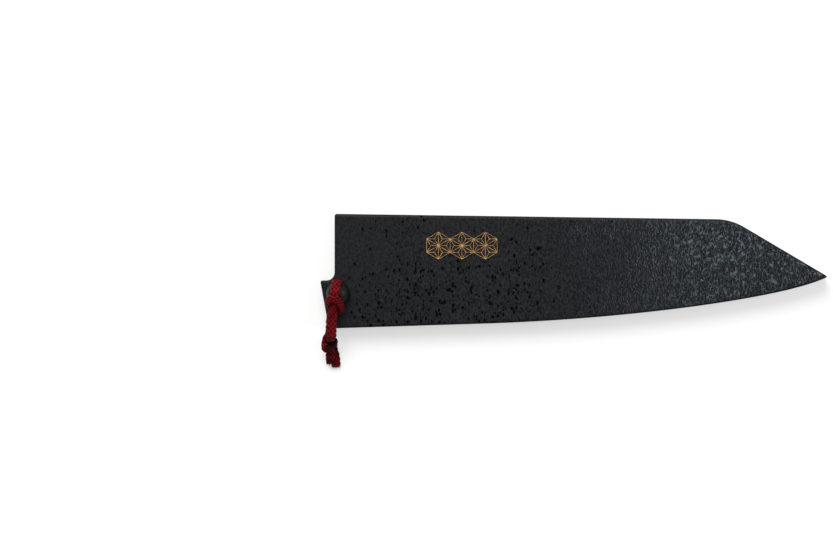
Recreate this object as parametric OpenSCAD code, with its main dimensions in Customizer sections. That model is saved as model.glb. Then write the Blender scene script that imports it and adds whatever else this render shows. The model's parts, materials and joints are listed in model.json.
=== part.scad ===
// Blade guard for a kitchen knife of about 210 mm, in the style of a Japanese wooden sheath.
// Two lacquered boards with two core strips between them leave a slot that is open at the
// handle end. A peg with a ball head passes through both boards behind the heel of the
// blade, and a braided cord through the head is hitched and knotted so the peg isn't lost.
// The guard lies on its back board: +X points to the tip, +Y to the spine, +Z out of the front.

/* [Boards] */
// Length from the mouth to the tip
body_l = 218.6; // [190:0.1:250]
// Height over the mouth, from the spine to the foot of the lug
guard_h = 50.8; // [46:0.1:58]
// Thickness of each of the two boards
board_t = 3.7; // [3:0.1:5]
// Rounding of the outer edges of the boards
edge_r = 1.2; // [0.4:0.1:2]
// Rounding of the corner between mouth and spine
mouth_r = 1; // [0.4:0.1:3]

/* [Spine and tip] */
// Fall of the spine towards the tip, in degrees
spine_fall = 0.8; // [0:0.1:2]
// Length along the guard of the sloping front part of the spine
clip_l = 43; // [32:0.5:60]
// Slope of that front part, in degrees
clip_angle = 30.6; // [24:0.1:34]
// Rounding where the spine meets the slope
clip_r = 25; // [5:1:40]
// Rounding of the tip
tip_r = 0.5; // [0.3:0.1:3]

/* [Cutting side] */
// Rise of the straight part of the cutting side, in degrees
edge_rise = 1.8; // [0.5:0.1:3]
// Length of the straight part of the cutting side
edge_straight = 70; // [40:1:90]
// Slope of the cutting side where it reaches the tip, in degrees
tip_angle = 23; // [16:0.5:28]
// Length of the straight end of the cutting side, at the tip
tip_straight = 3; // [1:0.5:8]
// How far the curve keeps the direction of the straight part, as a share of its length
belly_hold = 0.4; // [0.2:0.01:0.5]
// How far the curve keeps the direction of the tip, as a share of its length
belly_turn = 0.15; // [0.05:0.01:0.35]

/* [Lug] */
// How far the lug stands out past the mouth
lug_reach = 6.4; // [3:0.1:12]
// Height of the lug
lug_h = 21.3; // [17:0.1:26]
// Lean of the lug's end, in degrees
lug_lean = 10.2; // [0:0.1:16]
// Rounding of the inner corner between lug and mouth
notch_r = 3.6; // [1:0.1:6]
// Rounding of the lug's upper corner
lug_r = 0.8; // [0.4:0.1:3]
// Rounding of the lug's foot
foot_r = 1.6; // [0.4:0.1:5]

/* [Core] */
// Thickness of the core strips, which is the width of the blade slot
core_t = 3.2; // [2.4:0.1:5]
// Width of the strip along the spine
spine_wall = 2.3; // [1.6:0.1:4]
// Width of the strip along the cutting side
edge_wall = 2.8; // [2:0.1:5]

/* [Peg] */
// Diameter of the shank
peg_d = 5; // [4:0.1:6]
// Radial clearance between the shank and its bores
peg_gap = 0.05; // [0.02:0.01:0.1]
// Distance of the peg's axis inside the mouth
peg_set = 1.6; // [0.5:0.1:4]
// Height of the peg's axis above the foot of the lug
peg_up = 15.6; // [12:0.1:18]
// Diameter of the ball head
head_d = 10.6; // [9:0.1:11.4]
// Height of the head above the board
head_h = 7; // [6:0.1:8]
// How far the end of the shank stays inside the back board
peg_recess = 0.6; // [0.2:0.1:1.5]
// Chamfer at the end of the shank
peg_chamfer = 0.7; // [0.3:0.1:1.2]
// Diameter of the cross hole for the cord
eye_d = 4.2; // [3.8:0.1:4.6]
// Height of the cross hole's axis above the board
eye_up = 3.2; // [2.8:0.1:3.4]

/* [Cord] */
// Width of the flattened braid
cord_w = 4; // [3:0.1:4.2]
// Thickness of the flattened braid
cord_t = 2.1; // [1.6:0.1:2.3]

/* [Hidden] */

// The guard's box is centred on the origin, seen from above. Rounding cuts both its ends back.
tip_cut = tip_r / sin((tip_angle + clip_angle) / 2) - tip_r;
lug_cut = lug_r * (tan(lug_lean) + 1 / cos(lug_lean) - 1);
mouth_x = (lug_reach - lug_cut + tip_cut - body_l) / 2;
tip_x = mouth_x + body_l;
spine_y = guard_h / 2;
foot_y = -guard_h / 2;
core_z = board_t;
front_z = board_t + core_t;
face_z = front_z + board_t;

// Sharp corners of the outline, in the order in which it is walked.
clip_x = tip_x - clip_l;
clip_y = spine_y - (clip_x - mouth_x) * tan(spine_fall);
tip_y = clip_y - clip_l * tan(clip_angle);
lug_x = mouth_x - lug_reach;
lug_y = foot_y + lug_h;
foot_x = lug_x + lug_h * tan(lug_lean);
mouth_corner = [mouth_x, spine_y];
clip_corner = [clip_x, clip_y];
tip_corner = [tip_x, tip_y];
foot_corner = [foot_x, foot_y];
lug_corner = [lug_x, lug_y];
notch_corner = [mouth_x, lug_y];

// Directions of its straight sides, in degrees, with the wood on the right hand.
spine_dir = -spine_fall;
clip_dir = -clip_angle;
tip_dir = 180 + tip_angle;
edge_dir = 180 + edge_rise;
lug_dir = 90 + lug_lean;

corner_steps = 5;
clip_steps = 12;
notch_steps = 8;
belly_steps = 26;
edge_steps = 5;
sharp = 0.25;

function way(a) = [cos(a), sin(a)];
function across(u, v) = u[0] * v[1] - u[1] * v[0];

// Where the line through p towards a meets the line through q towards b.
function meet(p, a, q, b) = p + way(a) * across(q - p, way(b)) / across(way(a), way(b));

// The line through p towards a, moved by d to its right hand.
function moved(p, a, d) = p + d * way(a - 90);

function turn(c, r, a, b, steps) =
    [for (i = [0 : steps]) c + r * way(a + (b - a) * i / steps)];

// A rounded corner at p where the outline turns right from a to b, drawn at an inset.
function outer_corner(p, a, b, r, inset, steps) =
    let (left = max(r - inset, sharp))
    let (c = meet(moved(p, a, inset + left), a, moved(p, b, inset + left), b))
    turn(c, left, a + 90, b + 90, steps);

// A rounded corner at p where the outline turns left from a to b, drawn at an inset.
function inner_corner(p, a, b, r, inset, steps) =
    let (c = meet(moved(p, a, -r), a, moved(p, b, -r), b))
    turn(c, r + inset, a - 90, b - 90, steps);

// The belly is one cubic curve from the straight end at the tip to the straight edge.
belly_from = tip_corner + tip_straight * way(tip_dir);
belly_to = foot_corner - edge_straight * way(edge_dir);
belly_span = norm(belly_to - belly_from);
belly_hands = [belly_from + belly_turn * belly_span * way(tip_dir),
               belly_to - belly_hold * belly_span * way(edge_dir)];

function belly_point(t) =
    pow(1 - t, 3) * belly_from + 3 * pow(1 - t, 2) * t * belly_hands[0]
    + 3 * (1 - t) * t * t * belly_hands[1] + pow(t, 3) * belly_to;

function belly_slope(t) =
    pow(1 - t, 2) * (belly_hands[0] - belly_from)
    + 2 * (1 - t) * t * (belly_hands[1] - belly_hands[0])
    + t * t * (belly_to - belly_hands[1]);

function belly_at(t, inset) =
    let (s = belly_slope(t))
    belly_point(t) + inset * [s[1], -s[0]] / norm(s);

function belly(inset) = [for (i = [0 : belly_steps]) belly_at(i / belly_steps, inset)];

// The whole outline at an inset, walked from the mouth along the spine and back.
function outline(inset) = concat(
    outer_corner(mouth_corner, 90, spine_dir, mouth_r, inset, corner_steps),
    outer_corner(clip_corner, spine_dir, clip_dir, clip_r, inset, clip_steps),
    outer_corner(tip_corner, clip_dir, tip_dir - 360, tip_r, inset, corner_steps),
    belly(inset),
    outer_corner(foot_corner, edge_dir, lug_dir, foot_r, inset, corner_steps),
    outer_corner(lug_corner, lug_dir, 0, lug_r, inset, corner_steps),
    inner_corner(notch_corner, 0, 90, notch_r, inset, notch_steps));

// Everything on the blade's side of a line that keeps a wall's width from the spine.
function under_spine(wall) =
    let (start = moved(mouth_corner, spine_dir, wall))
    let (end = moved(tip_corner, clip_dir, wall))
    concat(
        [start - lug_reach * 2 * way(spine_dir)],
        outer_corner(clip_corner, spine_dir, clip_dir, clip_r, wall, clip_steps),
        [end + lug_reach * 2 * way(clip_dir), [tip_x, foot_y * 2], [lug_x * 2, foot_y * 2]]);

// Everything on the blade's side of a line that keeps a wall's width from the cutting side.
function over_belly(wall) =
    let (start = moved(tip_corner, tip_dir, wall))
    let (end = moved(foot_corner, edge_dir, wall))
    concat(
        [start - lug_reach * 2 * way(tip_dir)],
        belly(wall),
        [end + lug_reach * 2 * way(edge_dir), [lug_x * 2, spine_y * 2], [tip_x, spine_y * 2]]);

// A solid from rings of the same number of points. Each end is closed by triangles round
// a hub, which is a point in the end's plane that sees all points of the ring.
module lofted(rings, hubs) {
    count = len(rings[0]);
    last = len(rings) - 1;
    top = last * count;
    hub = top + count;
    sides = [for (j = [0 : last - 1], i = [0 : count - 1])
        let (a = j * count + i, b = j * count + (i + 1) % count)
        each [[a, b, b + count], [a, b + count, a + count]]];
    caps = [for (i = [0 : count - 1])
        let (next = (i + 1) % count)
        each [[next, i, hub], [top + i, top + next, hub + 1]]];
    polyhedron(concat([for (ring = rings) each ring], hubs), concat(sides, caps), convexity = 4);
}

// One board, standing on its inner face, with its outer edge rounded all round.
module board_blank() {
    round_steps = [for (k = [0 : edge_steps]) 90 * k / edge_steps];
    levels = concat(
        [[0, 0]],
        [for (a = round_steps) [board_t - edge_r + edge_r * sin(a), edge_r * (1 - cos(a))]]);
    hub = [mouth_x + guard_h, foot_y + lug_h / 2];
    lofted([for (l = levels) [for (p = outline(l[1])) [p[0], p[1], l[0]]]],
           [[hub[0], hub[1], 0], [hub[0], hub[1], board_t]]);
}

module peg_bore() {
    translate([mouth_x + peg_set, foot_y + peg_up, -1])
        cylinder(d = peg_d + 2 * peg_gap, h = face_z + 2, $fn = 48);
}

module front_board() {
    color("#25282b") difference() {
        translate([0, 0, front_z]) board_blank();
        peg_bore();
    }
}

module back_board() {
    color("#25282b") difference() {
        translate([0, 0, board_t]) mirror([0, 0, 1]) board_blank();
        peg_bore();
    }
}

module spine_strip() {
    color("#2d2b29") translate([0, 0, core_z]) linear_extrude(core_t) difference() {
        polygon(outline(0));
        polygon(under_spine(spine_wall));
    }
}

module edge_strip() {
    color("#2d2b29") translate([0, 0, core_z]) linear_extrude(core_t) difference() {
        intersection() {
            polygon(outline(0));
            polygon(under_spine(spine_wall));
        }
        polygon(over_belly(edge_wall));
    }
}

module peg() {
    ball_z = face_z + head_h - head_d / 2;
    color("#17181a") translate([mouth_x + peg_set, foot_y + peg_up, 0]) {
        difference() {
            translate([0, 0, ball_z]) sphere(d = head_d, $fn = 64);
            translate([0, 0, face_z - head_d]) cylinder(d = 2 * head_d, h = head_d, $fn = 48);
            translate([0, 0, face_z + eye_up]) rotate([90, 0, 0])
                cylinder(d = eye_d, h = 2 * head_d, center = true, $fn = 40);
        }
        rotate_extrude($fn = 48) polygon([
            [0, peg_recess],
            [peg_d / 2 - peg_chamfer, peg_recess],
            [peg_d / 2, peg_recess + peg_chamfer],
            [peg_d / 2, face_z],
            [0, face_z]]);
    }
}

// The cord is one braid in two strands that start back to back in the eye of the head.
// A point is [x, y, z] from the peg's axis on the front face, then the direction that the
// flat of the braid faces, then how much of its full width it keeps there.
front_strand = [
    [0, 0, 3.2, 0, 0, 1, 0.85],
    [0, 2.2, 3.2, 0, 0, 1, 0.85],
    [-0.05, 4.1, 3.65, 0, -1, 2, 0.8],
    [-0.25, 5.1, 4.8, 0, -2, 1, 0.95],
    [-0.5, 4.9, 6.4, 0, -4, -1, 1],
    [-0.8, 3.5, 7.7, 0, -1, -2, 1],
    [-1.2, 0.9, 8.4, 0, 0, -1, 1],
    [-1.6, -1.4, 8.1, 0, 0, -1, 0.83],
    [-1.65, -3.4, 7.4, 0, -1, -3, 0.66],
    [-1.85, -5.2, 6.7, 0, -1, -3, 0.7],
    [-2.2, -7.3, 5.9, 0, -1, -2, 0.88],
    [-2.4, -9.7, 4.7, 0, -1, -3, 1],
    [-2.5, -12.4, 4, 0, 0, -1, 1],
    [-2.6, -15, 4, 0, 0, -1, 1],
    [-2.7, -17, 3.7, 0, 1, -3, 1],
    [-2.8, -18.8, 2.7, 0, 2, -2, 1],
    [-3.2, -20.1, 0.8, 0, 3, -1, 0.85],
    [-3.65, -20.9, -1.6, 0, 3, -1, 0.7],
    [-3.9, -21.6, -3.9, 0, 2, -1, 0.64],
    [-3.8, -23.4, -5.9, 0, 2, -3, 0.8],
    [-3.65, -27.4, -7.2, 1, 1, -4, 1],
    [-3.6, -31.6, -7.9, 1, 1, -4, 1]];
back_strand = [
    [0, 0, 3.2, 0, 0, 1, 0.85],
    [0, -2.4, 3.2, 0, 0, 1, 0.8],
    [-0.6, -4.8, 3.45, 0, 0, 1, 0.62],
    [-2.1, -6.05, 3.75, 0, 0, 1, 0.64],
    [-3.6, -5.75, 4.25, 1, 0, 2, 0.68],
    [-4.4, -4.8, 5.7, 3, 1, 0, 0.7],
    [-4.25, -3.5, 7.8, 3, 1, -2, 0.74],
    [-3.4, -2.6, 9.6, 1, 1, -2, 0.8],
    [-1.5, -2.4, 10.3, 0, 1, -2, 0.8],
    [0, -3.2, 9.5, -1, 1, -2, 0.8],
    [0.9, -4.3, 7.7, -3, 1, -2, 0.8],
    [1.5, -5.85, 5.2, -3, 1, -1, 0.76],
    [1.5, -7.2, 2.65, -2, 0, 2, 0.66],
    [-0.1, -7.85, 1.25, 0, 0, 1, 0.7],
    [-2, -8.7, 1.2, 0, 0, 1, 0.8],
    [-3.1, -10.8, 1.25, 0, 0, 1, 1],
    [-3.3, -13.2, 1.35, 0, 0, 1, 1],
    [-3.4, -15.3, 1.2, 0, -1, 3, 1],
    [-3.65, -17, 0, 0, -2, 1, 0.95],
    [-4.3, -18.2, -2, 0, -3, 1, 0.8],
    [-5.3, -19.3, -3.8, 1, -2, 1, 0.75],
    [-6.1, -20.9, -4.4, 3, 0, 1, 0.8],
    [-6.45, -23, -4.4, 3, 1, 0, 0.8],
    [-6.1, -24.8, -3.9, 2, 2, -1, 0.75],
    [-4.7, -24.6, -2.9, 0, 3, -1, 0.7],
    [-2.7, -23.5, -2.8, -1, 2, 0, 0.72],
    [-1.35, -22, -4.2, -3, 1, 0, 0.75],
    [-1.6, -20.9, -6.4, -2, -1, 1, 0.75],
    [-2.1, -21.7, -8.4, -1, -1, 2, 0.85],
    [-2.4, -24.2, -9.4, 0, 0, 1, 0.95],
    [-1.5, -28, -9.45, 0, 0, 1, 1],
    [-1.1, -33, -9.45, 0, 0, 1, 1]];
cord_sides = 8;
rings_a_step = 2;

// A smooth curve through all columns of the points, at t counted in points.
function along(route, t) =
    let (last = len(route) - 1)
    let (i = min(floor(t), last - 1))
    let (f = t - i)
    let (a = route[max(i - 1, 0)], b = route[i], c = route[i + 1], d = route[min(i + 2, last)])
    (2 * b + (c - a) * f + (2 * a - 5 * b + 4 * c - d) * f * f
     + (3 * b - a - 3 * c + d) * f * f * f) / 2;

function place(v) = [v[0], v[1], v[2]];
function face(v) = [v[3], v[4], v[5]];
function unit(v) = v / norm(v);

// Points below the front face are drawn in or out with the guard's thickness.
function settled(v) = [v[0], v[1], v[2] >= 0 ? v[2] : v[2] * face_z / 10.6];

function cord_ring(route, t) =
    let (v = along(route, t))
    let (ahead = unit(place(along(route, t + 0.05)) - place(along(route, max(t - 0.05, 0)))))
    let (flat = unit(face(v) - (face(v) * ahead) * ahead))
    let (side = cross(ahead, flat))
    [for (i = [0 : cord_sides - 1])
        let (a = 360 * i / cord_sides)
        settled(place(v)) + cord_w / 2 * v[6] * cos(a) * side + cord_t / 2 * sin(a) * flat];

function cord_rings(route, from, to) =
    [for (k = [0 : (to - from) * rings_a_step]) cord_ring(route, from + k / rings_a_step)];

// A stretch of a strand, from one of its points to another.
module cord(route, from, to) {
    rings = cord_rings(route, from, to);
    ends = [rings[0], rings[len(rings) - 1]];
    color("#8e1420") translate([mouth_x + peg_set, foot_y + peg_up, face_z])
        lofted(rings, [for (ring = ends) (ring[0] + ring[cord_sides / 2]) / 2]);
}

// The least gap between stretches of the hitch that aren't next to each other.
hitch_rings = cord_rings(back_strand, 0, 15);
hitch_gap = min([for (i = [0 : len(hitch_rings) - 1], j = [i + 8 : len(hitch_rings) - 1])
    min([for (p = hitch_rings[i], q = hitch_rings[j]) norm(p - q)])]);
echo(least_gap_in_the_hitch = hitch_gap);

module cord_over_head() { cord(front_strand, 0, 9); }
module cord_front_leg() { cord(front_strand, 9, 17); }
module cord_front_tail() { cord(front_strand, 17, 21); }
module cord_hitch() { cord(back_strand, 0, 15); }
module cord_back_leg() { cord(back_strand, 15, 19); }
module cord_end_knot() { cord(back_strand, 19, 28); }
module cord_back_tail() { cord(back_strand, 28, 31); }

front_board();
back_board();
spine_strip();
edge_strip();
peg();
cord_over_head();
cord_hitch();
cord_front_leg();
cord_back_leg();
cord_end_knot();
cord_front_tail();
cord_back_tail();
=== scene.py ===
import json
import math

import bmesh
import bpy
import numpy as np
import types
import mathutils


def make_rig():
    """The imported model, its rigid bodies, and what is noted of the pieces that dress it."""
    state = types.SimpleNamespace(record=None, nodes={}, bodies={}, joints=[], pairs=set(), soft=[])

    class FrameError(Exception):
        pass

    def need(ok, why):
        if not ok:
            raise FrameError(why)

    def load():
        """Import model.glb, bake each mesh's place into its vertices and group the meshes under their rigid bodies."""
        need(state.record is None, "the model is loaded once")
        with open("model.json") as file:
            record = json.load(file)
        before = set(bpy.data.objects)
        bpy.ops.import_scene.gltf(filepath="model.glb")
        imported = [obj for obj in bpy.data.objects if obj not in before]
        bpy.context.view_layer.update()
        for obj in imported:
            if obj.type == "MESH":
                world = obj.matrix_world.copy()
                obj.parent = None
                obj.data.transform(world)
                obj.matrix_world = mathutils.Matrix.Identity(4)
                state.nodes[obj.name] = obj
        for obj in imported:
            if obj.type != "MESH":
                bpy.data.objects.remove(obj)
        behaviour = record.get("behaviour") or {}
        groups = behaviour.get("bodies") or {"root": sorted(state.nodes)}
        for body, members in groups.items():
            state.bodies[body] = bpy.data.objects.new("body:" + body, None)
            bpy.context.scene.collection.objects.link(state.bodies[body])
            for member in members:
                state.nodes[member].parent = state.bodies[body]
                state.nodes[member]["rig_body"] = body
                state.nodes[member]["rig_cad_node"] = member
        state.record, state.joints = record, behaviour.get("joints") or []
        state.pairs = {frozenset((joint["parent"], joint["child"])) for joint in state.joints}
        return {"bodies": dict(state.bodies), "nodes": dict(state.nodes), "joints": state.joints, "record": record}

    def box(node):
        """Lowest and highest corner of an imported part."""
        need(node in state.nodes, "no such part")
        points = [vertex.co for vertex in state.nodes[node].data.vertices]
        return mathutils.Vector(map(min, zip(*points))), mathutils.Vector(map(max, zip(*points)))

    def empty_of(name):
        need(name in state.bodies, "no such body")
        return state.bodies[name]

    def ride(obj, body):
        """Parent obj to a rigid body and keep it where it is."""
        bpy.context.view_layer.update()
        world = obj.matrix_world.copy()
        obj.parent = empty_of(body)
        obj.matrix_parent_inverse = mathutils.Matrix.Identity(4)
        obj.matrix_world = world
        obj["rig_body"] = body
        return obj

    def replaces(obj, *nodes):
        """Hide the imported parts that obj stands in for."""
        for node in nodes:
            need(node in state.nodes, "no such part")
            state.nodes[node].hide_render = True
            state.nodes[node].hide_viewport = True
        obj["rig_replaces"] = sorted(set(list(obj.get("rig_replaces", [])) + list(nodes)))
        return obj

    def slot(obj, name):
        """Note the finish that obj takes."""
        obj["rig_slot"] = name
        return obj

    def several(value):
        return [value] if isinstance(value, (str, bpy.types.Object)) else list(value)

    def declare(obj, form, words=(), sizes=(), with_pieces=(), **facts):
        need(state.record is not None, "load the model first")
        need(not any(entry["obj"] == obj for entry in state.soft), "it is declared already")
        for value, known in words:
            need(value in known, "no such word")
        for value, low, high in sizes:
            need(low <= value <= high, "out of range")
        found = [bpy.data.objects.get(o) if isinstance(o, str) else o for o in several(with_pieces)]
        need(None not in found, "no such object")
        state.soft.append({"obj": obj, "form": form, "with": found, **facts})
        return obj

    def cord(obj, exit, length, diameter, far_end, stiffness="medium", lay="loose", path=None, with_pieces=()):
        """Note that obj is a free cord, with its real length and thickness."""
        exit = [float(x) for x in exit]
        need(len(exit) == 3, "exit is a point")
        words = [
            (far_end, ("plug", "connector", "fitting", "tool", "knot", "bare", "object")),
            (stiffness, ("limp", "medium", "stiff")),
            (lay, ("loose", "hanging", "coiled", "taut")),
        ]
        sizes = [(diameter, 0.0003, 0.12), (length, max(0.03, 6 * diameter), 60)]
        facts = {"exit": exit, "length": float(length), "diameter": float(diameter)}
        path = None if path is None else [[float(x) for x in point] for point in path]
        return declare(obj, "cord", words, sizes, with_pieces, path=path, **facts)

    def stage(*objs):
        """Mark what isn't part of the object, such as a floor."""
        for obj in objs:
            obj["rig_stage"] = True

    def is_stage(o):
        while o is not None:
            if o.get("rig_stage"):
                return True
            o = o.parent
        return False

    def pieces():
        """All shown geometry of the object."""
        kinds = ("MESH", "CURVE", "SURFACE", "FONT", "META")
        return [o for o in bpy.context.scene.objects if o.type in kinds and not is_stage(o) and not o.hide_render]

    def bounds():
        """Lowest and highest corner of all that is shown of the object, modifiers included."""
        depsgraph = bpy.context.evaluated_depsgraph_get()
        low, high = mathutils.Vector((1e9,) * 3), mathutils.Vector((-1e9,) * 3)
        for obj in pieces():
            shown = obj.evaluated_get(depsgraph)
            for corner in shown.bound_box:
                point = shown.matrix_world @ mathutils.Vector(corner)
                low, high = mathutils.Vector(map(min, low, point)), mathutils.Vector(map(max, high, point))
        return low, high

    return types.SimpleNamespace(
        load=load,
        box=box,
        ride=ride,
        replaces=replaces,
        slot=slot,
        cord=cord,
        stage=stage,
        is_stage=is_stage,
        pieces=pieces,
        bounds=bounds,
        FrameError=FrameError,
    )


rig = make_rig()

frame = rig.load()
cadBox = [list(corner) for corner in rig.bounds()]
nodes = frame["nodes"]
mm = 0.001

# What the whole scene takes from the frame
boardLow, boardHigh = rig.box("front_board")
backLow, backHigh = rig.box("back_board")
pegLow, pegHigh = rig.box("peg")
pegAxis = np.array([(pegLow.x + pegHigh.x) / 2, (pegLow.y + pegHigh.y) / 2])
headRadius = (pegHigh.x - pegLow.x) / 2
faceLevel = boardHigh.z


# Camera straight above, as the picture was taken

photoView = {
    "middle": (-69.6 * mm, -2.8 * mm),  # what the middle of the picture shows
    "spanned": 368.6 * mm,  # length of table across the picture
    "distance": 1.6,  # from the lens to the guard's front face
}


def addCamera():
    data = bpy.data.cameras.new("aboveTheTable")
    camera = bpy.data.objects.new("aboveTheTable", data)
    bpy.context.scene.collection.objects.link(camera)
    data.lens = data.sensor_width * photoView["distance"] / photoView["spanned"]
    data.clip_end = 10
    camera.location = (*photoView["middle"], faceLevel + photoView["distance"])
    bpy.context.scene.camera = camera
    print("camera in place")


addCamera()


# Meshes from numpy arrays

def meshObject(name, points, faces):
    data = bpy.data.meshes.new(name)
    data.from_pydata(np.asarray(points, float).tolist(), [], faces)
    data.validate()
    piece = bpy.data.objects.new(name, data)
    bpy.context.scene.collection.objects.link(piece)
    return piece


def smooth(piece, angle):
    piece.data.shade_smooth()
    piece.data.set_sharp_from_angle(angle=math.radians(angle))


# Quads of a grid of rows x columns whose point (r, c) is number r * columns + c.
# Around: the last column joins the first.
def gridFaces(rows, columns, around=False):
    quadColumns = columns if around else columns - 1
    r, c = np.meshgrid(np.arange(rows - 1), np.arange(quadColumns), indexing="ij")
    here, beside = r * columns + c, r * columns + (c + 1) % columns
    return np.stack([here, beside, beside + columns, here + columns], -1).reshape(-1, 4)


def smoothStep(t):
    return t * t * (3 - 2 * t)


# Soft random hills: a lattice of seeded values, blended by a smooth step between its points.
# x and y are in lattice steps, and the result runs from 0 to 1.
latticeSide = 256


def hills(x, y, seed):
    lattice = np.random.default_rng(seed).random((latticeSide, latticeSide))
    column, row = np.floor(x).astype(int), np.floor(y).astype(int)
    fromLeft, fromBelow = smoothStep(x - column), smoothStep(y - row)
    left, right = column % latticeSide, (column + 1) % latticeSide
    low, high = row % latticeSide, (row + 1) % latticeSide
    below = lattice[low, left] * (1 - fromLeft) + lattice[low, right] * fromLeft
    above = lattice[high, left] * (1 - fromLeft) + lattice[high, right] * fromLeft
    return below * (1 - fromBelow) + above * fromBelow


# Cord: one flattened braid in two strands that start back to back in the head's eye.
# A point is x, y, z from the peg's axis on the front face in millimetres, the direction
# that the flat faces, and the share of its full width that the braid keeps there.

frontRoute = [
    [0, 0, 3.2, 0, 0, 1, 0.85],
    [0, 2.2, 3.2, 0, 0, 1, 0.85],
    [-0.05, 4.1, 3.65, 0, -1, 2, 0.8],
    [-0.25, 5.1, 4.8, 0, -2, 1, 0.95],
    [-0.5, 4.9, 6.4, 0, -4, -1, 1],
    [-0.8, 3.5, 7.7, 0, -1, -2, 1],
    [-1.2, 0.9, 8.4, 0, 0, -1, 1],
    [-1.6, -1.4, 8.1, 0, 0, -1, 0.83],
    [-1.65, -3.4, 7.4, 0, -1, -3, 0.66],
    [-1.85, -5.2, 6.7, 0, -1, -3, 0.7],
    [-2.2, -7.3, 5.9, 0, -1, -2, 0.88],
    [-2.4, -9.7, 4.7, 0, -1, -3, 1],
    [-2.5, -12.4, 4, 0, 0, -1, 1],
    [-2.6, -15, 4, 0, 0, -1, 1],
    [-2.7, -17, 3.7, 0, 1, -3, 1],
    [-2.8, -18.8, 2.7, 0, 2, -2, 1],
    [-3.2, -20.1, 0.8, 0, 3, -1, 0.85],
    [-3.65, -20.9, -1.6, 0, 3, -1, 0.7],
    [-3.9, -21.6, -3.9, 0, 2, -1, 0.64],
    [-3.8, -23.4, -5.9, 0, 2, -3, 0.8],
    [-3.65, -27.4, -7.2, 1, 1, -4, 1],
    [-3.6, -31.6, -7.9, 1, 1, -4, 1]]
backRoute = [
    [0, 0, 3.2, 0, 0, 1, 0.85],
    [0, -2.4, 3.2, 0, 0, 1, 0.8],
    [-0.6, -4.8, 3.45, 0, 0, 1, 0.62],
    [-2.1, -6.05, 3.75, 0, 0, 1, 0.64],
    [-3.6, -5.75, 4.25, 1, 0, 2, 0.68],
    [-4.4, -4.8, 5.7, 3, 1, 0, 0.7],
    [-4.25, -3.5, 7.8, 3, 1, -2, 0.74],
    [-3.4, -2.6, 9.6, 1, 1, -2, 0.8],
    [-1.5, -2.4, 10.3, 0, 1, -2, 0.8],
    [0, -3.2, 9.5, -1, 1, -2, 0.8],
    [0.9, -4.3, 7.7, -3, 1, -2, 0.8],
    [1.5, -5.85, 5.2, -3, 1, -1, 0.76],
    [1.5, -7.2, 2.65, -2, 0, 2, 0.66],
    [-0.1, -7.85, 1.25, 0, 0, 1, 0.7],
    [-2, -8.7, 1.2, 0, 0, 1, 0.8],
    [-3.1, -10.8, 1.25, 0, 0, 1, 1],
    [-3.3, -13.2, 1.35, 0, 0, 1, 1],
    [-3.4, -15.3, 1.2, 0, -1, 3, 1],
    [-3.65, -17, 0, 0, -2, 1, 0.95],
    [-4.3, -18.2, -2, 0, -3, 1, 0.8],
    [-5.3, -19.3, -3.8, 1, -2, 1, 0.75],
    [-6.1, -20.9, -4.4, 3, 0, 1, 0.8],
    [-6.45, -23, -4.4, 3, 1, 0, 0.8],
    [-6.1, -24.8, -3.9, 2, 2, -1, 0.75],
    [-4.7, -24.6, -2.9, 0, 3, -1, 0.7],
    [-2.7, -23.5, -2.8, -1, 2, 0, 0.72],
    [-1.35, -22, -4.2, -3, 1, 0, 0.75],
    [-1.6, -20.9, -6.4, -2, -1, 1, 0.75],
    [-2.1, -21.7, -8.4, -1, -1, 2, 0.85],
    [-2.4, -24.2, -9.4, 0, 0, 1, 0.95],
    [-1.5, -28, -9.45, 0, 0, 1, 1],
    [-1.1, -33, -9.45, 0, 0, 1, 1]]

braid = {
    "width": 3.6 * mm,  # of the section under the plaits
    "thickness": 1.5 * mm,
    "squareness": 2.5,  # 2 is an ellipse, more is a fuller flat
    "swell": 0.25,  # share by which the braid thickens where it is pressed narrow
    "plaits": 5,  # yarns each way round the cord
    "pitch": 2.25 * mm,  # along the cord from a plait to the next of its row
    "loose": 0.3,  # share of the pitch by which plaits stray from their places
    "likeness": 2.6 * mm,  # along the cord, over which plaits stray alike
    "rise": 0.37 * mm,  # how far a plait stands out
    "uneven": 0.35,  # share by which the rises differ
    "dive": 0.28,  # share of the rise by which a yarn dives under the other
    "sides": 96,
    "ringStep": 0.13 * mm,
    "measured": (4001, 2401),  # points by which a route and a section are measured
    "endRound": 0.8 * mm,  # length over which a cut end closes
    "shadeEdge": 1.2 * mm,  # over which the painted shade in the braid fades out
    "flattened": 0.35,  # share of the rise taken away where the shade is painted
}


# Where shade is painted into the braid, darkening it: start and end along a strand in millimetres, and amount
shadedStretches = {
    "front": ((32.4, 38.5, 0.35), (36.4, 44.6, 1.0), (45.6, 48.0, 0.4), (48.4, 51.6, 0.75)),
    "back": ((52.0, 64.5, 1.0), (64.5, 71.5, 0.45), (70.0, 74.0, 0.3)),
}


# A smooth curve through all columns of the points, worked out at t counted in points.
def along(route, t):
    points = np.array(route, float)
    last = len(points) - 1
    i = np.minimum(np.floor(t).astype(int), last - 1)
    f = (t - i)[:, None]
    a, b = points[np.maximum(i - 1, 0)], points[i]
    c, d = points[i + 1], points[np.minimum(i + 2, last)]
    square, cube = 2 * a - 5 * b + 4 * c - d, 3 * b - a - 3 * c + d
    return (2 * b + (c - a) * f + square * f ** 2 + cube * f ** 3) / 2


def unit(vectors):
    return vectors / np.linalg.norm(vectors, axis=-1, keepdims=True)


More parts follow.
